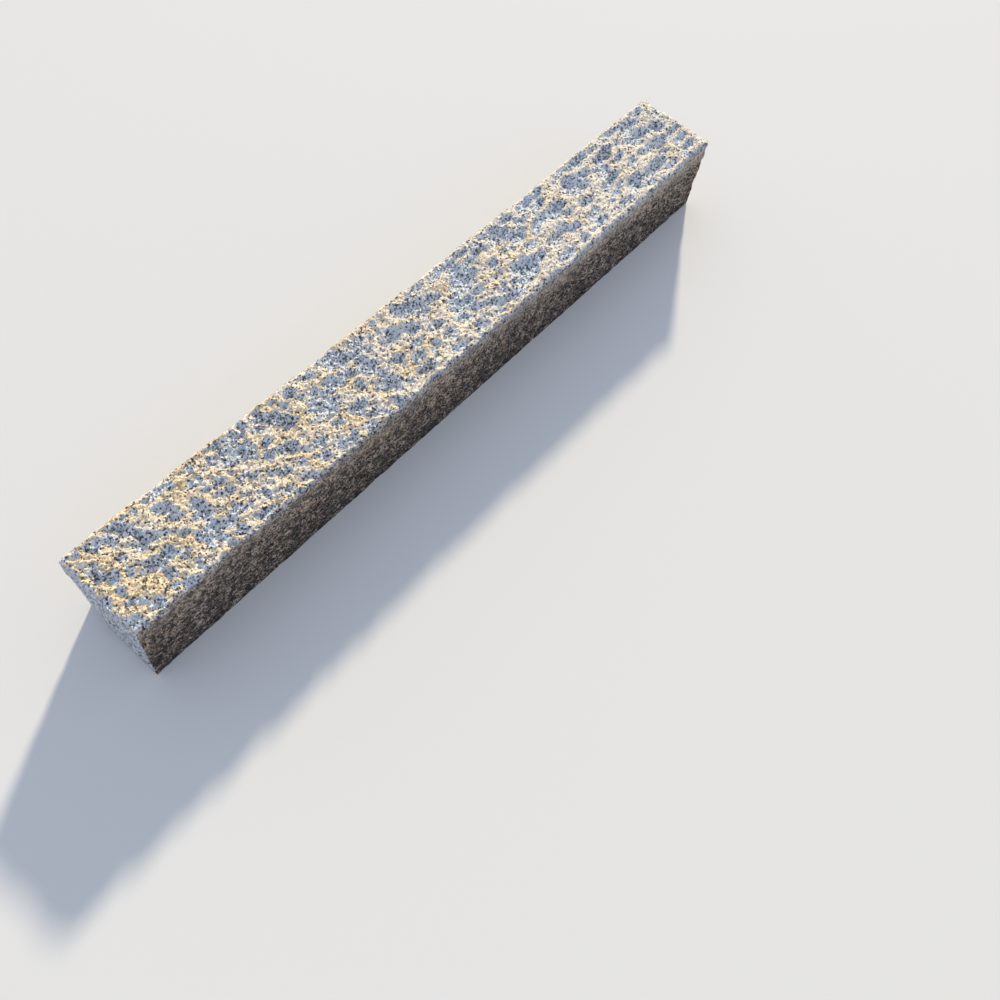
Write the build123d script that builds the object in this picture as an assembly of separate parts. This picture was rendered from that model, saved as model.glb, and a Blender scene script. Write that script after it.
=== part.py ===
from build123d import *
import os
import random
from math import cos, radians, sin

# A hewn kerb stone lying on its bed. X runs along it, Y across it and Z up from the bed.
# The origin is in the middle of the bed. All sizes are in millimetres, turns in degrees.
length = 1000
width = 118
height = 120  # bed to the highest crest of the top
top_sag = 5  # of the hewn top at mid-length

# The top is hewn with a point, which leaves rows of hollows with ridges between them
row_width = 18.4  # from one row to the next
near_length = 21  # of a usual hollow at the near end
far_length = 45  # and at the far end
near_width = 16.5
far_width = 12.8
usual_depth = 5
usual_gap = 2  # from one hollow to the next in its row
near_turn = -35  # of the hollows at the near end, which fan round to
far_turn = 8  # from halfway along the stone
near_stray = 24  # how far a turn may stray at the near end
far_stray = 10
crest_wear = 1.6  # how far the ridges may lie below the highest crest

# Hollows that stand out: place from the near end, place in from the pitched arris, length, width, turn
deep_hollows = [
    (11, 41, 22, 14, -60),
    (29, 15, 28, 15, -45),
    (55, 18, 34, 21, 8),
    (63, 46, 30, 15, 15),
    (63, 74, 48, 20, 8),
    (106, 32, 32, 20, -35),
    (108, 8, 32, 15, 5),
    (117, 92, 42, 24, -50),
    (140, 89, 28, 12, 5),
    (164, 61, 30, 14, -25),
    (196, 31, 64, 32, -18),
    (219, 12, 38, 22, 10),
    (226, 61, 22, 17, 30),
    (246, 67, 26, 19, -30),
    (251, 24, 54, 18, 0),
    (265, 42, 34, 22, 15),
    (309, 56, 48, 36, 20),
    (342, 2, 36, 18, 0),
    (347, 41, 64, 22, 0),
    (372, 24, 54, 15, -5),
    (385, 49, 36, 26, -20),
    (385, 87, 36, 24, -20),
    (431, 99, 50, 12, 5),
    (435, 42, 52, 17, 8),
    (464, 49, 28, 22, -35),
    (482, 25, 50, 19, -8),
    (492, 40, 36, 14, 20),
    (532, 69, 56, 44, 25),
    (560, 42, 58, 38, 12),
    (567, 13, 36, 24, 25),
    (579, 97, 34, 13, 0),
    (597, 25, 54, 16, 12),
    (629, 87, 60, 40, 15),
    (649, 25, 44, 22, 18),
    (668, 41, 36, 24, -5),
    (709, 75, 54, 14, 4),
    (715, 13, 38, 22, 20),
    (733, 49, 54, 20, 12),
    (792, 37, 50, 34, -3),
    (827, 11, 54, 16, 8),
    (830, 67, 60, 16, 14),
    (858, 33, 70, 18, 18),
    (858, 91, 40, 22, 35),
    (899, 92, 70, 18, 5),
    (929, 39, 70, 16, -6),
    (933, 67, 74, 19, -6),
    (936, 19, 48, 19, 5),
    (966, 47, 26, 24, 0),
]
deep_depth = 7.5
deep_spread = 0.12  # share by which the depth of one differs from the next
deep_side_room = row_width / 3  # beside them, that usual hollows leave free
deep_keep_off = 0.2  # square of the distance that usual hollows keep from them, in their own sizes

# Section of a hollow along the stroke of the point
wall_steepness = 1.4  # how much sooner than in a plain bowl its floor is reached
wall_power = 0.8
bite = 0.35  # share by which the far end of the stroke is deeper, and the near end shallower

# How much one hollow differs from the next, as shares of the usual values
length_spread = 0.45
width_spread = 0.25
depth_spread = 0.35
near_row_spread = 0.34  # of the place across a row, which is straighter at the far end
far_row_spread = 0.14

# Broken facets that the hollows are made of
facet_length = 5.8
facet_width = 4.5
facet_stagger = 0.25  # share of a facet by which its corners are out of line

# Arrises: the pitched one is crisp, the other long one is knocked back
pitched_arris_width = 2.5
pitched_arris_drop = 3
soft_arris_width = 5
soft_arris_drop = 8
end_arris_width = 3
end_arris_drop = 3
arris_chipping = 0.45  # share by which the drop of an arris varies

# A corner broken off at the foot of the near end
spall_length = 13
spall_width = 46
spall_height = 88

end_x = length / 2
side_y = width / 2
hewn_length = length - 2 * end_arris_width
hewn_width = width - pitched_arris_width - soft_arris_width
rows = max(2, round(hewn_width / row_width))
steps = max(4, round(hewn_length / facet_length))
lines = max(4, round(hewn_width / facet_width))


def uneven(*place):
    """A number from -1 to 1 that is always the same for one place on the stone."""
    return random.Random(repr(place)).uniform(-1, 1)


def between(near, far, share):
    """A value that changes evenly from the near end to the far end."""
    return near + (far - near) * min(1, max(0, share))


def standing_hollows():
    """The hollows that stand out, as (x, y, length, width, turn, depth)."""
    found = []
    for number, (along, inward, size, across, turn) in enumerate(deep_hollows):
        depth = deep_depth * (1 + deep_spread * uneven("deep", number))
        found.append((along - end_x, side_y - inward, size, across, turn, depth))
    return found


def is_free(x, y, hollows):
    """Whether a place is outside all the hollows that stand out."""
    for middle_x, middle_y, size, across, _, _ in hollows:
        along = (x - middle_x) / size
        aside = (y - middle_y) / (across + deep_side_room)
        if along**2 + aside**2 < deep_keep_off:
            return False
    return True


def usual_hollows(taken):
    """Hollows row by row, wherever the ones that stand out leave room."""
    found = []
    for row in range(rows):
        x = -end_x - row_width * (1 + uneven("start", row)) / 2
        number = 0
        while x < end_x:
            place = (row, number)
            along = (x + end_x) / length
            size = between(near_length, far_length, along) * (1 + length_spread * uneven("length", *place))
            across = between(near_width, far_width, along) * (1 + width_spread * uneven("width", *place))
            depth = usual_depth * (1 + depth_spread * uneven("depth", *place))
            spread = between(near_row_spread, far_row_spread, along) * uneven("y", *place)
            stray = between(near_stray, far_stray, along) * uneven("turn", *place)
            turn = between(near_turn, far_turn, 2 * along) + stray
            middle_x = x + size / 2
            middle_y = side_y - pitched_arris_width - hewn_width * (row + 0.5 + spread) / rows
            if is_free(middle_x, middle_y, taken):
                found.append((middle_x, middle_y, size, across, turn, depth))
            x += size + usual_gap * (1 + uneven("gap", *place))
            number += 1
    return found


hollows = standing_hollows()
hollows += usual_hollows(hollows)


def struck_depth(x, y):
    """How far the point has cut below the ridges: the deepest of the hollows that reach this place."""
    deepest = 0
    for middle_x, middle_y, size, across, turn, depth in hollows:
        if abs(x - middle_x) > size or abs(y - middle_y) > size:
            continue
        turned_x = (x - middle_x) * cos(radians(turn)) + (y - middle_y) * sin(radians(turn))
        turned_y = (y - middle_y) * cos(radians(turn)) - (x - middle_x) * sin(radians(turn))
        along = 2 * turned_x / size
        aside = 2 * turned_y / across
        inside = 1 - along**2 - aside**2
        if inside > 0:
            wall = min(1, wall_steepness * inside) ** wall_power
            deepest = max(deepest, depth * wall * (1 + bite * along))
    return deepest


def corner(step, line):
    """A corner of the hewn facets, inside the four arrises."""
    x = -end_x + end_arris_width + hewn_length * step / steps
    y = -side_y + soft_arris_width + hewn_width * line / lines
    if 0 < step < steps:
        x += facet_stagger * facet_length * uneven("x", step, line)
    if 0 < line < lines:
        y += facet_stagger * facet_width * uneven("y", step, line)
    sag = top_sag * (1 - (x / end_x) ** 2)
    wear = crest_wear * (1 + uneven("wear", step, line)) / 2
    return Vector(x, y, height - sag - wear - struck_depth(x, y))


def rim_point(step, line):
    """A point of the rim, where an arris meets the flat side or end below it."""
    inner = corner(min(max(step, 0), steps), min(max(line, 0), lines))
    x = inner.X
    y = inner.Y
    drop = 0
    if line < 0:
        y = -side_y
        drop = soft_arris_drop
    elif line > lines:
        y = side_y
        drop = pitched_arris_drop
    if step < 0 or step > steps:
        x = end_x if step > steps else -end_x
        drop = max(drop, end_arris_drop)
    return Vector(x, y, inner.Z - drop * (1 + arris_chipping * uneven("rim", step, line)))


def skin_point(step, line):
    """A point of the top with its rim, which is one step and one line further out."""
    if 0 <= step <= steps and 0 <= line <= lines:
        return corner(step, line)
    return rim_point(step, line)


def facet(*points):
    return Face(Wire.make_polygon(points, close=True))


def hewn_facets(net):
    """Two facets to each mesh of the net, split along its more level diagonal."""
    facets = []
    for step in range(-1, steps + 1):
        for line in range(-1, lines + 1):
            a = net[step, line]
            b = net[step + 1, line]
            c = net[step + 1, line + 1]
            d = net[step, line + 1]
            if abs(a.Z - c.Z) < abs(b.Z - d.Z):
                facets += [facet(a, b, c), facet(a, c, d)]
            else:
                facets += [facet(a, b, d), facet(b, c, d)]
    return facets


def flat_faces(net):
    """The bed, the two sides and the two ends, with the corner broken off at the foot of the near end."""
    along = range(-1, steps + 2)
    across = range(-1, lines + 2)
    soft_rim = [net[step, -1] for step in along]
    pitched_rim = [net[step, lines + 1] for step in along]
    near_rim = [net[-1, line] for line in across]
    far_rim = [net[steps + 1, line] for line in across]

    near_foot = Vector(-end_x, -side_y, 0)
    far_foot = Vector(end_x, -side_y, 0)
    far_back_foot = Vector(end_x, side_y, 0)
    spall_on_end = Vector(-end_x, side_y - spall_width, 0)
    spall_on_side = Vector(-end_x + spall_length, side_y, 0)
    spall_top = Vector(-end_x, side_y, spall_height)

    bed = facet(near_foot, spall_on_end, spall_on_side, far_back_foot, far_foot)
    spall = facet(spall_on_end, spall_top, spall_on_side)
    soft_side = facet(near_foot, far_foot, *reversed(soft_rim))
    pitched_side = facet(far_back_foot, spall_on_side, spall_top, *pitched_rim)
    near_end = facet(spall_top, spall_on_end, near_foot, *near_rim)
    far_end = facet(far_foot, far_back_foot, *reversed(far_rim))
    return [bed, spall, soft_side, pitched_side, near_end, far_end]


def kerb_stone():
    net = {}
    for step in range(-1, steps + 2):
        for line in range(-1, lines + 2):
            net[step, line] = skin_point(step, line)
    lift = height - max(point.Z for point in net.values())
    net = {place: point + Vector(0, 0, lift) for place, point in net.items()}
    return Solid(Shell(hewn_facets(net) + flat_faces(net)))


os.makedirs("parts", exist_ok=True)
export_step(kerb_stone(), "parts/kerb_stone.step")
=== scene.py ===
import math

import bpy
import numpy as np
from mathutils import Euler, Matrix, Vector, noise
from mathutils.bvhtree import BVHTree


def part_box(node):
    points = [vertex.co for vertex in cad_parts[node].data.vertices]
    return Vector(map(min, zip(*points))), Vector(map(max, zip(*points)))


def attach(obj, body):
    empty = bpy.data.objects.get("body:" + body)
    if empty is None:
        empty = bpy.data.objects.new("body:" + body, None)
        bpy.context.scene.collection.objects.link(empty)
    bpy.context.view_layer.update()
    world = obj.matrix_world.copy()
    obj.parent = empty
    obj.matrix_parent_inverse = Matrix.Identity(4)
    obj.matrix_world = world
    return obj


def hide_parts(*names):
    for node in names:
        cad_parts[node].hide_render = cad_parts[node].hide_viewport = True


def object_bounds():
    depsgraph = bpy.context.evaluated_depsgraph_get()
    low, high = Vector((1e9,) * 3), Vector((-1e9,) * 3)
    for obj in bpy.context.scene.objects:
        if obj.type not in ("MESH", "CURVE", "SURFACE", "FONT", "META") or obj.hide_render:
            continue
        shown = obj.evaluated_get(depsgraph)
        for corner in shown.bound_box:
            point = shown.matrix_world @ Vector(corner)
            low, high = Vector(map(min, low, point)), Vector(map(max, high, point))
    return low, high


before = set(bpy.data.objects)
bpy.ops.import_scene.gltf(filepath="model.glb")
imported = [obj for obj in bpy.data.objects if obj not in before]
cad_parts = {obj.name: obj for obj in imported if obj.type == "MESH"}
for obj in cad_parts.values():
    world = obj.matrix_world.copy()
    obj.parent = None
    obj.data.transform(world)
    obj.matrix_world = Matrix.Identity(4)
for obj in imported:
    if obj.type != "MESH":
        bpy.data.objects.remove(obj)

cad_low, cad_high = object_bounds()
MM = 0.001
NODE = "kerb_stone"

# The camera of the photograph, in the stone's own frame
CAMERA_PLACE = (-0.6105, -0.4629, 1.059)
CAMERA_TURN = (28.61, -7.04, -49.60)  # degrees about X, Y and Z
CAMERA_LENS = 36.0  # mm
CAMERA_SENSOR = 36.0  # width in mm
CAMERA_CLIP = 0.01  # nearest that it sees, in metres

# A warm key low over the far end, where the sun stood, and an even blue sky
KEY_POWER = 4.3
KEY_SPREAD = math.radians(4)
KEY_COLOUR = (1.0, 0.88, 0.66)
KEY_AZIMUTH = math.radians(31)
KEY_ELEVATION = math.radians(23)
SKY_POWER = 0.70
SKY_COLOUR = (0.76, 0.84, 1.0, 1)

# The ground that the stone is shown on
GROUND_SIZE = 12
GROUND_COLOUR = (0.73, 0.73, 0.73, 1)
GROUND_ROUGHNESS = 0.9

# The net that the stone's skin is made of
STATIONS = 740  # along the stone
TOP_COLUMNS = 84  # across the top
SIDE_ROWS = 20  # up each side and end
BED_COLUMNS = 3  # across the bed
RING = 2 * SIDE_ROWS + TOP_COLUMNS + BED_COLUMNS  # places around each section
TOP_PART = slice(SIDE_ROWS, SIDE_ROWS + TOP_COLUMNS + 1)  # those of the top
MARGIN = 0.02 * MM  # left below the CAD stone's highest place, and inside its ends where it is read
RAY_START = 0.05  # metres above the stone, from where its heights are read

# How far apart different seeds read the noise, and the faces of crystals
NOISE_SHIFT = (7.31, 3.17, 5.93)
CRYSTAL_SHIFT = (4.77, 9.13, 2.39)
CRYSTAL_SPREAD = 13.7  # makes neighbouring crystals unlike each other
CRYSTAL_RISE = 0.6  # how much one face stands above or below the next, against their tilts

# Relief of the hewn top, laid over the CAD stone's hollows: sizes, and how far each reaches or rises
BENDS = ((13 * MM, 4.2 * MM), (6 * MM, 2.4 * MM), (3 * MM, 1.1 * MM))
RIDGES = ((15 * MM, 1.8 * MM), (7 * MM, 1.7 * MM))
FLAKES = ((8 * MM, 1.7 * MM), (4.2 * MM, 1.6 * MM), (2.6 * MM, 1.2 * MM))
BEND_ROOM = 9 * MM  # how far in from the edges the bends have their full reach
GRAIN_TURN = math.radians(-12)  # the ridges and flakes are drawn out along the strokes
RIDGE_STRETCH = 2.0
FLAKE_STRETCH = 1.5
FAR_CALM = 0.5  # share of the relief that is left at the far end, hewn in longer and cleaner strokes
CREST_ROUGH = 0.8  # share of it on the crests, which are worn
FLOOR_ROUGH = 1.2  # and on the floors of the hollows
FLOOR_DEPTH = 5 * MM  # depth at which those floors start
EDGE_ROUGH = 0.3  # share of it at the edges of the top
EDGE_ROOM = 5 * MM  # how far in from them it has its full rise
NEAR_DEPTH = 0.88  # share of the CAD hollows' depth at the near end
FAR_DEPTH = 1.1  # and at the far end
CREST_REACH = 13 * MM  # how far around a place the level of its crests is taken

# Small marks of the point, in millimetres and degrees: the least and the most
STROKES = 800
STROKE_LENGTH = (8, 20)
STROKE_WIDTH = (4, 8)
STROKE_DEPTH = (0.8, 2.6)
STROKE_TURN = (-30, 8)  # at the near end, and beyond the middle
STROKE_STRAY = 15  # how much one turn differs from the next
STROKE_BITE = 0.75  # share of a stroke over which it bites deeper
STROKE_BREAK = 0.18  # and over which it breaks out again

# What the top takes of the bluer unweathered palette: from 0 on the crests to 1 deep in the hollows. It
# is partly the stone's own unweathered grain and partly painted shade, bluer and darker down in the
# hollows
SHARE_START_DEPTH = -1  # mm below the level of the crests, where a hollow starts to take that palette
SHARE_FULL_DEPTH = 8  # and where it takes it fully
CUT_WEIGHT = 0.6  # how much the CAD hollows alone say about the depth, against the finer relief
SUNLIT_SIDE = math.radians(30)  # flanks that face this azimuth, the key's, take the crests' colours: painted light
SUNLIT_PAINT = 1.6  # share of the hollows' palette that such a flank loses for each unit of slope that way, as painted light
SUNLIT_PAINT_START = -0.02  # slope at which that starts
SHADED_PAINT = 0.6  # and what a flank gains for each unit of slope the other way, as painted shade
ARRIS_HOLLOW = 0.45  # how much of that palette, with its painted shade, the soft arris takes

# How many cells of the net each reading is smoothed over
TOP_BLUR = 0.7
DEPTH_BLUR = 0.8
SLOPE_BLUR = 1.2

# Arrises of the two long edges: how far in they start, and how far they drop
SOFT_ARRIS_WIDTH = 5.5 * MM
SOFT_ARRIS_DROP = 6 * MM
PITCHED_ARRIS_WIDTH = 2.5 * MM
PITCHED_ARRIS_DROP = 2.5 * MM
LIP = 10 * MM  # strip inside the pitched arris and the ends where the hollows run out
LIP_DEPTH = 0.4  # share of their depth that they keep at the edge

# Scallops of the edges in plan: how long they are, and how far they reach in at most
SOFT_SCALLOPS = (28 * MM, 3.4 * MM)
PITCHED_SCALLOPS = (50 * MM, 1.8 * MM)
NEAR_SCALLOPS = (22 * MM, 3.5 * MM)
FAR_SCALLOPS = (22 * MM, 0.6 * MM)
SCALLOP_USUAL = 0.35  # share of the most that is usual
SCALLOP_FADE = 0.3  # share that the scallops of an end gain with each column from its corners
SCALLOP_REACH = 20 * MM  # how far along the top those of an end are felt

# How the sides and ends are broken
SIDE_DENT = 2.0 * MM
SIDE_LUMP = 9 * MM  # how wide those dents are
SIDE_CHIPS = 0.5  # depth of the chips as a share of the dents'
DENT_USUAL = 0.5  # share of a full dent that is usual
FOOT_DENT = 0.3  # share of the dents that is left at the bed
SIDE_LEAN = 0.2  # share of a side's height over which it leans in to its scalloped edge
END_DENT = 1.8 * MM
END_LUMP = 20 * MM
END_FADE = 0.4  # share that the dents of an end gain with each row from its edges
END_LEAN = 0.25  # share of an end's height over which it leans in
STREAK_TURN = math.radians(24)  # of the streaks on the sides, up from the stone's length
STREAK_STRETCH = 2.0

# How clean and unshaded the sides and ends are, from 0 for dark split stone with painted shade to 1 for
# hewn stone, and how much of the bluer palette they take
PITCHED_SIDE_HEWN = 0.45  # this side and the bed are cleaner than the other side, and less darkened by painted shade
SOFT_EDGE_HEWN_AND_UNSHADED = (0.15, 0.55)  # the other side at its arris, near and far, darkened with dirt and painted shade
SOFT_EDGE_REACH = 30 * MM  # and how far down it takes to darken, with dirt and painted shade
ENDS_HEWN_AND_UNSHADED = (0.9, 0.35)  # the near and the far end; the far end is darker, as painted shade against the key light that falls on it
ENDS_HOLLOW = (0.62, 0.30)  # and how much of the bluer palette, partly painted shade, they take

# Room around the broken foot corner, along from the near end and up from the bed
SPALL_LENGTH = 30 * MM
SPALL_HEIGHT = 95 * MM
SPALL_CLEAR = 0.05 * MM  # most that the skin stands out of the CAD stone there

# The granite
CRYSTALS = 450  # to the metre
MICA_FLECKS = 640
CRYSTAL_BEND = 1.6 * MM  # how far their outlines stray
CRYSTAL_TILT = 1.1  # how steeply their faces lean
BREAK_DEPTH = 1.6 * MM  # how rough those faces are
SPLIT_PITS = 2.0  # how much rougher the split sides are
STREAK_SCALE = (0.6, 1, 1)  # the sides' dark colour, dirt and painted shade, is drawn out along the streaks
RUST = (1.0, 0.89, 0.69, 1)
MICA = (0.10, 0.095, 0.095, 1)


def cad_surface():
    """The CAD stone as a tree that can be asked for nearest points and for hits."""
    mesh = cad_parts[NODE].data
    points = [v.co.copy() for v in mesh.vertices]
    return BVHTree.FromPolygons(points, [tuple(p.vertices) for p in mesh.polygons])


def blur(field, reach):
    """Each value averaged over its surroundings by a bell curve, whose reach is in cells."""
    half = int(3 * reach) + 1
    bell = np.exp(-0.5 * (np.arange(-half, half + 1) / reach) ** 2)
    bell /= bell.sum()
    for axis in (0, 1):
        widths = [(half, half) if a == axis else (0, 0) for a in (0, 1)]
        padded = np.pad(field, widths, mode="edge")
        field = np.apply_along_axis(np.convolve, axis, padded, bell, "valid")
    return field


def crest_level(top):
    """Height of the crests around each place, which counts the highest places most."""
    cell = (cad_high.x - cad_low.x) / STATIONS
    level = (top - top.mean()) / MM
    return top.mean() + MM * np.log(blur(np.exp(level), CREST_REACH / cell))


def drawn_out(us, vs, turn, stretch):
    """Coordinates along and across a direction, in which whatever is laid out gets longer along it."""
    along = (us * math.cos(turn) + vs * math.sin(turn)) / stretch
    return along, vs * math.cos(turn) - us * math.sin(turn)


def fractal(place, octaves=4):
    """Noise from about -1 to 1, in which each octave is half as large and half as strong as the last."""
    return noise.fractal(place, 1.0, 2.0, octaves)


def crystal_face(place):
    """Height of the broken crystal face at a place: each has a level and a tilt of its own."""
    centre = noise.voronoi(place)[1][0]
    lean = noise.cell_vector(centre * CRYSTAL_SPREAD)
    offset = place - centre
    tilt = (2 * lean.x - 1) * offset.x + (2 * lean.y - 1) * offset.y
    return CRYSTAL_RISE * (2 * lean.z - 1) + tilt


def over_net(us, vs, size, shift, height):
    """The heights that a function gives over a net, with lumps of the given size."""
    field = np.empty(us.shape)
    for index in np.ndindex(us.shape):
        field[index] = height(Vector((us[index], vs[index], 0)) / size + shift)
    return field


def noise_field(us, vs, size, seed, octaves):
    """Fractal noise from about -1 to 1 over a net."""
    shift = Vector([seed * step for step in NOISE_SHIFT])
    return over_net(us, vs, size, shift, lambda place: fractal(place, octaves))


def crystal_field(us, vs, size, seed):
    """Broken crystal faces from about -1 to 1 over a net."""
    shift = Vector([seed * step for step in CRYSTAL_SHIFT])
    return over_net(us, vs, size, shift, crystal_face)


def strike(field, xs, ys, place, length, width, turn, depth):
    """Dents a field of depths with one stroke, which bites deeper as it goes and then breaks out."""
    rows = np.nonzero(np.abs(xs[:, 0] - place[0]) < length)[0]
    if len(rows) == 0:
        return
    part = slice(rows[0], rows[-1] + 1)
    dx = xs[part] - place[0]
    dy = ys[part] - place[1]
    along = (dx * math.cos(turn) + dy * math.sin(turn)) / length
    across = (dy * math.cos(turn) - dx * math.sin(turn)) / width
    ramp = np.clip((along + 0.5) / STROKE_BITE, 0, 1) * np.clip((0.5 - along) / STROKE_BREAK, 0, 1)
    groove = np.clip(1 - (2 * across) ** 2, 0, 1)
    field[part] = np.maximum(field[part], depth * ramp * groove)


def small_strokes(xs, ys, low, high):
    """Depth of the small marks, which fan round with the hollows from the near end to the middle."""
    draw = np.random.RandomState(seed=3)
    near_turn, far_turn = STROKE_TURN
    field = np.zeros(xs.shape)
    for _ in range(STROKES):
        place = (draw.uniform(low.x, high.x), draw.uniform(low.y, high.y))
        fan = min(1, 2 * (place[0] - low.x) / (high.x - low.x))
        turn = math.radians(draw.normal(near_turn + (far_turn - near_turn) * fan, STROKE_STRAY))
        length = draw.uniform(*STROKE_LENGTH) * MM
        width = draw.uniform(*STROKE_WIDTH) * MM
        depth = draw.uniform(*STROKE_DEPTH) * MM
        strike(field, xs, ys, place, length, width, turn, depth)
    return field


def edge_line(x_line, wall, inward, size, most, seed):
    """Plan line of an edge, scalloped inwards from its wall."""
    waves = np.array([fractal(Vector((x / size, seed, 0))) for x in x_line])
    return wall + inward * most * np.clip(SCALLOP_USUAL + waves, 0, 1)


def end_scallops(size, most, seed):
    """How far each column of the top is drawn in from an end, and nothing at its two corners."""
    from_corner = np.minimum(np.arange(TOP_COLUMNS + 1), np.arange(TOP_COLUMNS, -1, -1))
    places = np.linspace(0, cad_high.y - cad_low.y, TOP_COLUMNS + 1)
    return edge_line(places, 0, 1, size, most, seed) * np.clip(SCALLOP_FADE * from_corner, 0, 1)


def change(xs, low, high, near, far):
    """A value that changes from near to far over the middle half of the stone."""
    return near + (far - near) * np.clip(2 * (xs - low.x) / (high.x - low.x) - 0.5, 0, 1)


def bent_places(xs, ys, low, high):
    """Where to read the CAD stone for each place of the net, so that hollows get ragged outlines."""
    edge_distance = np.minimum(ys - low.y, high.y - ys)
    end_distance = np.minimum(xs - low.x, high.x - xs)
    room = np.clip(np.minimum(edge_distance, end_distance) / BEND_ROOM, 0, 1)
    hold = room * change(xs, low, high, 1, FAR_CALM)
    bent_x = xs.copy()
    bent_y = ys.copy()
    for number, (size, reach) in enumerate(BENDS):
        bent_x += hold * reach * noise_field(xs, ys, size, seed=11 + number, octaves=1)
        bent_y += hold * reach * noise_field(xs, ys, size, seed=21 + number, octaves=1)
    bent_x = np.clip(bent_x, low.x + MARGIN, high.x - MARGIN)
    return bent_x, np.clip(bent_y, low.y + SOFT_ARRIS_WIDTH, high.y - PITCHED_ARRIS_WIDTH)


def top_heights(surface, xs, ys, low, high):
    """Heights of the hewn top: the CAD stone's with the relief, and how deep its hollows are cut."""
    bent_x, bent_y = bent_places(xs, ys, low, high)
    top = np.empty(xs.shape)
    for index in np.ndindex(xs.shape):
        above = Vector((bent_x[index], bent_y[index], high.z + RAY_START))
        top[index] = surface.ray_cast(above, Vector((0, 0, -1)))[0].z
    top = blur(top, TOP_BLUR)

    from_pitched = ys[:, -1:] - ys
    from_edge = np.minimum(np.minimum(from_pitched, xs - low.x), high.x - xs)
    crests = crest_level(top)
    keep = LIP_DEPTH + (1 - LIP_DEPTH) * np.clip(from_edge / LIP, 0, 1)
    cut = (crests - top) * keep * change(xs, low, high, NEAR_DEPTH, FAR_DEPTH)
    top = crests - cut

    relief = -small_strokes(xs, ys, low, high)
    along, across = drawn_out(xs, ys, GRAIN_TURN, RIDGE_STRETCH)
    for number, (size, rise) in enumerate(RIDGES):
        lumps = noise_field(along, across, size, seed=31 + number, octaves=1)
        relief += rise * (1 - 2 * np.abs(lumps))
    along, across = drawn_out(xs, ys, GRAIN_TURN, FLAKE_STRETCH)
    for number, (size, rise) in enumerate(FLAKES):
        relief += rise * crystal_field(along, across, size, seed=2 + number)
    rough = CREST_ROUGH + (FLOOR_ROUGH - CREST_ROUGH) * np.clip(cut / FLOOR_DEPTH, 0, 1)
    room = np.clip(from_edge / EDGE_ROOM, EDGE_ROUGH, 1)
    top += relief * rough * change(xs, low, high, 1, FAR_CALM) * room

    soft = np.clip((ys - ys[:, :1]) / SOFT_ARRIS_WIDTH, 0, 1)
    top -= SOFT_ARRIS_DROP * (1 - np.sqrt(1 - (1 - soft) ** 2))
    top -= PITCHED_ARRIS_DROP * (1 - np.clip(from_pitched / PITCHED_ARRIS_WIDTH, 0, 1))
    return top + (high.z - MARGIN - top.max()), cut


def hollow_share(top, cut, xs, ys, low, high):
    """From 0 on the crests to 1 deep in the hollows; less on the flanks that face the key, painted as
    lit, and more on those that face away, painted as shade.
    """
    depth = blur(crest_level(top) - top, DEPTH_BLUR) / MM
    depth += CUT_WEIGHT * (cut / MM - depth)
    smooth = blur(top, SLOPE_BLUR)
    slope_x = np.gradient(smooth, axis=0) / np.gradient(xs, axis=0)
    slope_y = np.gradient(smooth, axis=1) / np.gradient(ys, axis=1)
    # Painted light and shade: flanks facing the key take the crests' warm colours, flanks facing away
    # the bluer palette
    lean = -slope_x * math.cos(SUNLIT_SIDE) - slope_y * math.sin(SUNLIT_SIDE)
    share = np.clip((depth - SHARE_START_DEPTH) / (SHARE_FULL_DEPTH - SHARE_START_DEPTH), 0, 1)
    share *= 1 - np.clip(SUNLIT_PAINT * (lean - SUNLIT_PAINT_START), 0, 1)
    share = np.clip(share + SHADED_PAINT * np.clip(-lean, 0, 1), 0, 1)
    soft = np.clip((ys - low.y) / SOFT_ARRIS_WIDTH, 0, 1)
    pitched = np.clip((high.y - ys) / PITCHED_ARRIS_WIDTH, 0, 1)
    return (ARRIS_HOLLOW + (share - ARRIS_HOLLOW) * soft) * pitched


def side_wall(x_line, edge, wall, inward, rim, seed):
    """One long side from the bed to its arris, rough, and leaning in to its scalloped edge."""
    rise = np.linspace(0, 1, SIDE_ROWS + 1)
    z = rim[:, None] * rise[None, :]
    x = np.repeat(x_line[:, None], SIDE_ROWS + 1, axis=1)
    lean = np.clip((rise - (1 - SIDE_LEAN)) / SIDE_LEAN, 0, 1) ** 2
    pull = np.abs(edge - wall)[:, None] * lean[None, :]
    along, across = drawn_out(x, z, STREAK_TURN, STREAK_STRETCH)
    streaks = noise_field(along, across, SIDE_LUMP, seed, octaves=3)
    chips = crystal_field(x, z, SIDE_LUMP, seed)
    dents = SIDE_DENT * np.clip(DENT_USUAL - streaks, 0, 2)
    dents += SIDE_CHIPS * SIDE_DENT * np.clip(DENT_USUAL - chips, 0, 2)
    dents[:, 0] *= FOOT_DENT
    dents[:, -1] = 0
    return x, wall + inward * (pull + dents), z


def at(station, place):
    """Number of the vertex at a place around the section of a station."""
    return station * RING + place % RING


def long_faces():
    """Faces between one section and the next, all along the stone."""
    faces = []
    for station in range(STATIONS):
        for place in range(RING):
            here = (at(station, place), at(station + 1, place))
            faces.append(here + (at(station + 1, place + 1), at(station, place + 1)))
    return faces


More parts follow.
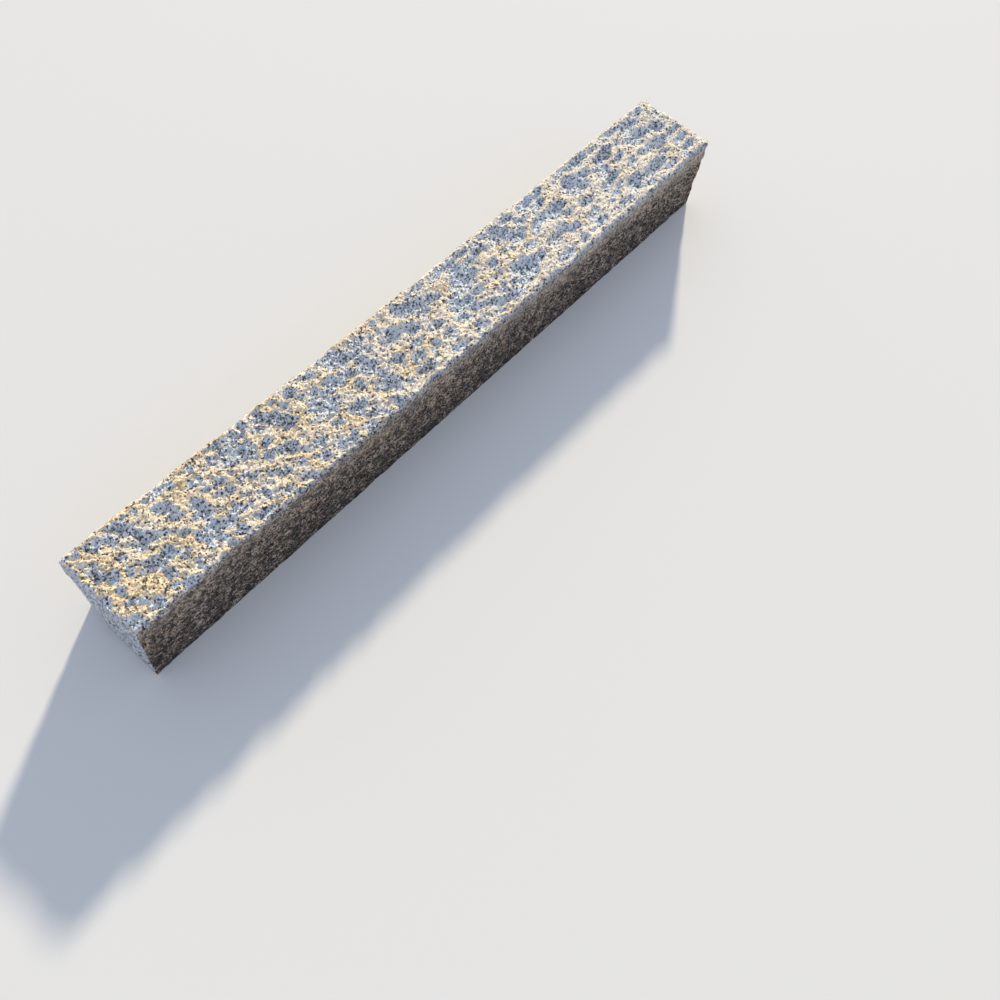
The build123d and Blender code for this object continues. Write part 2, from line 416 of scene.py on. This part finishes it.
def end_faces(station, outward, first):
    """Faces of one end, whose inner places are numbered from the given first one."""
    net = np.empty((TOP_COLUMNS + 1, SIDE_ROWS + 1), int)
    net[0] = [at(station, row) for row in range(SIDE_ROWS + 1)]
    net[-1] = [at(station, 2 * SIDE_ROWS + TOP_COLUMNS - row) for row in range(SIDE_ROWS + 1)]
    net[:, -1] = [at(station, SIDE_ROWS + column) for column in range(TOP_COLUMNS + 1)]
    inner = net[1:-1, 1:-1]
    inner[:] = first + np.arange(inner.size).reshape(inner.shape)

    faces = []
    for column in range(TOP_COLUMNS):
        for row in range(1, SIDE_ROWS):
            low_side = [net[column, row], net[column + 1, row]]
            faces.append(low_side + [net[column + 1, row + 1], net[column, row + 1]])
    foot = [net[0, 0]]
    foot += [at(station, 2 * SIDE_ROWS + TOP_COLUMNS + k) for k in range(BED_COLUMNS - 1, 0, -1)]
    foot += [net[-1, 0]] + [net[column, 1] for column in range(TOP_COLUMNS, -1, -1)]
    faces.append(foot)
    return [face if outward > 0 else face[::-1] for face in faces]


def end_points(x, outward, foot_y, rim_y, rim_z, scallops, seed):
    """Places inside one end, which hangs from the top's last section and is dented."""
    points = []
    for column in range(1, TOP_COLUMNS):
        for row in range(1, SIDE_ROWS):
            rise = row / SIDE_ROWS
            y = foot_y[column] + (rim_y[column] - foot_y[column]) * rise
            z = rim_z[column] * rise
            lump = fractal(Vector((y, z, 0)) / END_LUMP + Vector((0, 0, seed)))
            from_edge = min(column, TOP_COLUMNS - column, SIDE_ROWS - row, row)
            dent = END_DENT * min(1, END_FADE * from_edge) * max(0, DENT_USUAL - lump)
            dent += scallops[column] * max(0, (rise - (1 - END_LEAN)) / END_LEAN) ** 2
            points.append((x - outward * dent, y, z))
    return points


def draw_back_broken_corner(vertices, surface, low):
    """Where the foot corner is broken off, puts what stands out of the CAD stone onto it."""
    near_end = vertices[:, 0] < low.x + SPALL_LENGTH
    corner = near_end & (vertices[:, 1] > 0) & (vertices[:, 2] < SPALL_HEIGHT)
    for number in np.nonzero(corner)[0]:
        place = Vector(vertices[number])
        near, normal, _, _ = surface.find_nearest(place)
        if (place - near).dot(normal) > SPALL_CLEAR:
            vertices[number] = near


def stone_mesh():
    """The skin of the stone, with at each vertex how much of the bluer palette it takes and how hewn it
    is; the first also paints light and shade on the top, the second shade on the sides and the far end.
    """
    surface = cad_surface()
    low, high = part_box(NODE)

    x_line = np.linspace(low.x, high.x, STATIONS + 1)
    edge_low = edge_line(x_line, low.y, 1, *SOFT_SCALLOPS, seed=11.3)
    edge_high = edge_line(x_line, high.y, -1, *PITCHED_SCALLOPS, seed=4.9)
    share = np.linspace(0, 1, TOP_COLUMNS + 1)
    ys = edge_low[:, None] + (edge_high - edge_low)[:, None] * share[None, :]
    near_scallops = end_scallops(*NEAR_SCALLOPS, seed=7.7)
    far_scallops = end_scallops(*FAR_SCALLOPS, seed=2.2)
    near_pull = np.clip(1 - (x_line - low.x) / SCALLOP_REACH, 0, 1)[:, None] * near_scallops[None, :]
    far_pull = np.clip(1 - (high.x - x_line) / SCALLOP_REACH, 0, 1)[:, None] * far_scallops[None, :]
    xs = x_line[:, None] + near_pull - far_pull
    top, cut = top_heights(surface, xs, ys, low, high)

    # Each section goes up one side, over the top, down the other side and back along the bed
    x_a, y_a, z_a = side_wall(x_line, edge_low, low.y, 1, top[:, 0], seed=21)
    x_b, y_b, z_b = side_wall(x_line, edge_high, high.y, -1, top[:, -1], seed=33)
    bed_share = np.linspace(0, 1, BED_COLUMNS + 1)[1:-1]
    bed_y = y_b[:, :1] + (y_a[:, :1] - y_b[:, :1]) * bed_share[None, :]
    bed_x = np.repeat(x_line[:, None], len(bed_share), axis=1)
    ring_x = np.concatenate([x_a, xs[:, 1:-1], x_b[:, ::-1], bed_x], axis=1)
    ring_y = np.concatenate([y_a, ys[:, 1:-1], y_b[:, ::-1], bed_y], axis=1)
    ring_z = np.concatenate([z_a, top[:, 1:-1], z_b[:, ::-1], np.zeros(bed_x.shape)], axis=1)

    ring_hollow = np.zeros(ring_x.shape)
    ring_hollow[:, TOP_PART] = hollow_share(top, cut, xs, ys, low, high)
    ring_hewn_and_unshaded = np.zeros(ring_x.shape)
    # The soft side darkens from its arris down, and its arris on the top too: dirt and painted shade
    soft_edge = change(xs[:, :1], low, high, *SOFT_EDGE_HEWN_AND_UNSHADED)
    below_edge = (top[:, :1] - z_a[:, :-1]) / SOFT_EDGE_REACH
    ring_hewn_and_unshaded[:, :SIDE_ROWS] = soft_edge * np.clip(1 - below_edge, 0, 1)
    soft = np.clip((ys - ys[:, :1]) / SOFT_ARRIS_WIDTH, 0, 1)
    ring_hewn_and_unshaded[:, TOP_PART] = soft_edge + (1 - soft_edge) * soft
    ring_hewn_and_unshaded[:, TOP_PART.stop:] = PITCHED_SIDE_HEWN

    faces = long_faces()
    inner = []
    for station, outward, scallops in ((0, -1, near_scallops), (STATIONS, 1, far_scallops)):
        faces += end_faces(station, outward, ring_x.size + len(inner))
        foot_y = y_a[station, 0] + (y_b[station, 0] - y_a[station, 0]) * share
        rim = (ys[station], top[station])
        inner += end_points(x_line[station], outward, foot_y, *rim, scallops, seed=station)
    vertices = np.stack([ring_x, ring_y, ring_z], axis=2).reshape(-1, 3)
    vertices = np.concatenate([vertices, np.array(inner)])
    draw_back_broken_corner(vertices, surface, low)

    mesh = bpy.data.meshes.new("hewn_granite")
    mesh.from_pydata(vertices.tolist(), [], [tuple(int(v) for v in face) for face in faces])
    mesh.validate()
    mesh.update()
    # The far end's low hewn share darkens it as painted shade against the key
    shares = (("hollow", ring_hollow, ENDS_HOLLOW), ("hewn", ring_hewn_and_unshaded, ENDS_HEWN_AND_UNSHADED))
    for name, ring_values, end_values in shares:
        values = np.concatenate([ring_values.reshape(-1), np.repeat(end_values, len(inner) // 2)])
        attribute = mesh.attributes.new(name, "FLOAT", "POINT")
        attribute.data.foreach_set("value", values.astype(np.float32))
    return mesh


class Nodes:
    """Short ways to add the nodes of a material."""

    def __init__(self, name):
        self.material = bpy.data.materials.new(name)
        self.material.use_nodes = True
        self.tree = self.material.node_tree
        self.shader = self.tree.nodes["Principled BSDF"]
        self.place = self.tree.nodes.new("ShaderNodeTexCoord").outputs["Object"]

    def add(self, kind, **values):
        """A node with some of its inputs set or linked by name."""
        node = self.tree.nodes.new(kind)
        for name, value in values.items():
            self.feed(value, node.inputs[name.replace("_", " ")])
        return node

    def feed(self, value, socket):
        if isinstance(value, bpy.types.NodeSocket):
            self.tree.links.new(value, socket)
        else:
            socket.default_value = value

    def cloud(self, scale, detail, rough=0.55, place=None):
        """Soft noise: its lumps to the metre, and how many finer octaves it has, and how strong."""
        values = dict(Vector=place or self.place, Scale=scale, Detail=detail, Roughness=rough)
        return self.add("ShaderNodeTexNoise", **values).outputs["Fac"]

    def channel(self, colour, name):
        return self.add("ShaderNodeSeparateColor", Color=colour).outputs[name]

    def attribute(self, name):
        node = self.add("ShaderNodeAttribute")
        node.attribute_name = name
        return node.outputs["Fac"]

    def ramp(self, source, stops, interpolation="LINEAR"):
        node = self.add("ShaderNodeValToRGB", Fac=source)
        node.color_ramp.interpolation = interpolation
        elements = node.color_ramp.elements
        while len(elements) < len(stops):
            elements.new(0.5)
        for element, (position, colour) in zip(elements, stops):
            element.position = position
            element.color = (*colour, 1)
        return node.outputs["Color"]

    def step(self, source, start, end):
        """Rises evenly from 0 to 1 while the source goes from start to end."""
        return self.ramp(source, ((start, (0, 0, 0)), (end, (1, 1, 1))))

    def mix(self, kind, amount, first, second):
        node = self.add("ShaderNodeMix")
        node.data_type = "RGBA"
        node.blend_type = kind
        self.feed(amount, node.inputs["Factor"])
        self.feed(first, node.inputs[6])
        self.feed(second, node.inputs[7])
        return node.outputs[2]

    def multiply_add(self, first, factor, last):
        node = self.add("ShaderNodeMath")
        node.operation = "MULTIPLY_ADD"
        self.feed(first, node.inputs[0])
        self.feed(factor, node.inputs[1])
        self.feed(last, node.inputs[2])
        return node.outputs[0]

    def add_shares(self, total, *parts):
        """A total with shares of other values added to it, one by one."""
        for source, share in parts:
            total = self.multiply_add(source, share, total)
        return total

    def vectors(self, operation, *values):
        node = self.add("ShaderNodeVectorMath")
        node.operation = operation
        for value, socket in zip(values, node.inputs):
            self.feed(value, socket)
        return node.outputs["Value" if operation == "DOT_PRODUCT" else "Vector"]


def granite():
    """Weathered on the crests, unweathered and bluer in the hollows, and dark on the split sides; the
    blue of the hollows and the dark of the sides are partly painted shade.
    """
    n = Nodes("granite")
    axes = n.add("ShaderNodeSeparateXYZ", Vector=n.place).outputs
    hollow = n.attribute("hollow")
    # hewn: from 0 for dark split stone with dirt and painted shade, to 1 for hewn stone
    hewn = n.attribute("hewn")

    # Crystals, with outlines bent by a little noise
    bend = n.add("ShaderNodeTexNoise", Vector=n.place, Scale=420, Detail=2)
    bent = n.vectors("MULTIPLY_ADD", bend.outputs["Color"], (CRYSTAL_BEND,) * 3, n.place)
    cells = n.add("ShaderNodeTexVoronoi", Vector=bent, Scale=CRYSTALS)
    draw = n.channel(cells.outputs["Color"], "Red")
    weathered = n.ramp(draw, (
        (0.00, (0.97, 0.90, 0.80)),
        (0.30, (0.96, 0.87, 0.75)),
        (0.52, (0.94, 0.78, 0.60)),
        (0.60, (0.62, 0.56, 0.51)),
        (0.70, (0.97, 0.90, 0.80)),
        (0.92, (0.17, 0.15, 0.13)),
    ), "CONSTANT")
    # The palette of the hollows: grey of unweathered crystals, with a blue that is painted shade
    fresh_with_painted_shade = n.ramp(draw, (
        (0.00, (0.91, 0.96, 1.00)),
        (0.39, (0.79, 0.87, 1.00)),
        (0.61, (0.59, 0.67, 0.80)),
        (0.79, (0.33, 0.36, 0.42)),
        (0.89, (0.17, 0.18, 0.20)),
        (0.95, (0.07, 0.07, 0.075)),
    ), "CONSTANT")

    # Iron has stained the weathered crests in patches. The hollows take the bluer palette, partly
    # unweathered stone and partly painted shade
    patches = n.add_shares(n.cloud(26, 4), (axes["X"], -0.2))
    weathered = n.mix("MULTIPLY", n.step(patches, 0.44, 0.66), weathered, RUST)
    ragged = n.add_shares(hollow, (n.cloud(190, 4, 0.6), 0.6), (n.cloud(17, 2), 0.2))
    clean = n.mix("MIX", n.step(ragged, 0.64, 0.76), weathered, fresh_with_painted_shade)

    # The split sides are dark, partly with dirt and partly with painted shade, and darker towards the
    # bed as painted shade, in short streaks and specks
    drawn = n.add("ShaderNodeMapping", Vector=n.place)
    n.feed((0, STREAK_TURN, 0), drawn.inputs["Rotation"])
    n.feed(STREAK_SCALE, drawn.inputs["Scale"])
    streaks = n.cloud(210, 5, 0.7, drawn.outputs[0])
    lightness = n.add_shares(
        -0.41,
        (streaks, 0.8),
        (n.cloud(560, 2, 0.6), 0.7),
        (n.cloud(55, 4, 0.6), 0.34),
        # lighter with height: painted shade that deepens towards the bed
        (axes["Z"], 0.75),
    )
    # dark dirt and painted shade of the split sides
    grime_and_painted_shade = n.ramp(lightness, (
        (0.50, (0.026, 0.021, 0.018)),
        (0.56, (0.16, 0.12, 0.09)),
        (0.64, (0.80, 0.61, 0.47)),
    ))
    split = n.mix("MULTIPLY", 1.0, n.mix("MIX", 0.3, fresh_with_painted_shade, weathered), grime_and_painted_shade)
    stone = n.mix("MIX", hewn, split, clean)

    # Flecks of black mica, a few more of them in the hollows
    flecks = n.add("ShaderNodeTexVoronoi", Vector=bent, Scale=MICA_FLECKS)
    fleck = n.add_shares(n.channel(flecks.outputs["Color"], "Green"), (hollow, 0.07))
    is_mica = n.ramp(fleck, ((0.0, (0, 0, 0)), (0.94, (1, 1, 1))), "CONSTANT")
    n.feed(n.mix("MIX", is_mica, stone, MICA), n.shader.inputs["Base Color"])

    dull = (0.8, 0.8, 0.8)
    glossy = (0.5, 0.5, 0.5)
    gloss = n.ramp(draw, ((0.0, dull), (0.54, glossy), (0.76, dull)), "CONSTANT")
    n.feed(gloss, n.shader.inputs["Roughness"])

    # Each crystal has a tilt of its own, its broken face is rough, and the split sides are pitted
    offset = n.vectors("SUBTRACT", bent, cells.outputs["Position"])
    lean = n.vectors("SUBTRACT", cells.outputs["Color"], (0.5, 0.5, 0.5))
    tilt = n.vectors("DOT_PRODUCT", offset, lean)
    tilted = n.add("ShaderNodeBump", Strength=1.0, Distance=CRYSTAL_TILT, Height=tilt)
    pits = n.multiply_add(hewn, -SPLIT_PITS, SPLIT_PITS)
    broken = n.multiply_add(streaks, pits, n.cloud(600, 4, 0.65))
    rough = n.add("ShaderNodeBump", Strength=1.0, Distance=BREAK_DEPTH, Height=broken)
    n.feed(tilted.outputs["Normal"], rough.inputs["Normal"])
    n.feed(rough.outputs["Normal"], n.shader.inputs["Normal"])
    return n.material


def add_stone():
    piece = bpy.data.objects.new("hewn_kerb_stone", stone_mesh())
    bpy.context.scene.collection.objects.link(piece)
    piece.data.materials.append(granite())
    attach(piece, "root")
    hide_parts(NODE)


def add_floor():
    bpy.ops.mesh.primitive_plane_add(size=GROUND_SIZE, location=(0, 0, 0))
    floor = bpy.context.object
    floor.name = "floor"
    n = Nodes("pale_floor")
    n.feed(GROUND_COLOUR, n.shader.inputs["Base Color"])
    n.feed(GROUND_ROUGHNESS, n.shader.inputs["Roughness"])
    floor.data.materials.append(n.material)


def add_light():
    """The key and the sky, which are neutral together on level ground."""
    lamp = bpy.data.lights.new("key", "SUN")
    lamp.energy = KEY_POWER
    lamp.angle = KEY_SPREAD
    lamp.color = KEY_COLOUR
    key = bpy.data.objects.new("key", lamp)
    level = math.cos(KEY_ELEVATION)
    towards = Vector((
        math.cos(KEY_AZIMUTH) * level,
        math.sin(KEY_AZIMUTH) * level,
        math.sin(KEY_ELEVATION),
    ))
    key.rotation_mode = "QUATERNION"
    key.rotation_quaternion = towards.to_track_quat("Z", "Y")
    bpy.context.scene.collection.objects.link(key)

    world = bpy.data.worlds.new("studio")
    bpy.context.scene.world = world
    world.use_nodes = True
    sky = world.node_tree.nodes["Background"]
    sky.inputs["Color"].default_value = SKY_COLOUR
    sky.inputs["Strength"].default_value = SKY_POWER


def add_camera():
    data = bpy.data.cameras.new("camera")
    data.sensor_width = CAMERA_SENSOR
    data.lens = CAMERA_LENS
    data.clip_start = CAMERA_CLIP
    camera = bpy.data.objects.new("camera", data)
    camera.location = CAMERA_PLACE
    camera.rotation_euler = Euler([math.radians(a) for a in CAMERA_TURN], "XYZ")
    bpy.context.scene.collection.objects.link(camera)
    bpy.context.scene.camera = camera


add_stone()
add_floor()
add_light()
add_camera()
bpy.context.scene.view_settings.view_transform = "Standard"
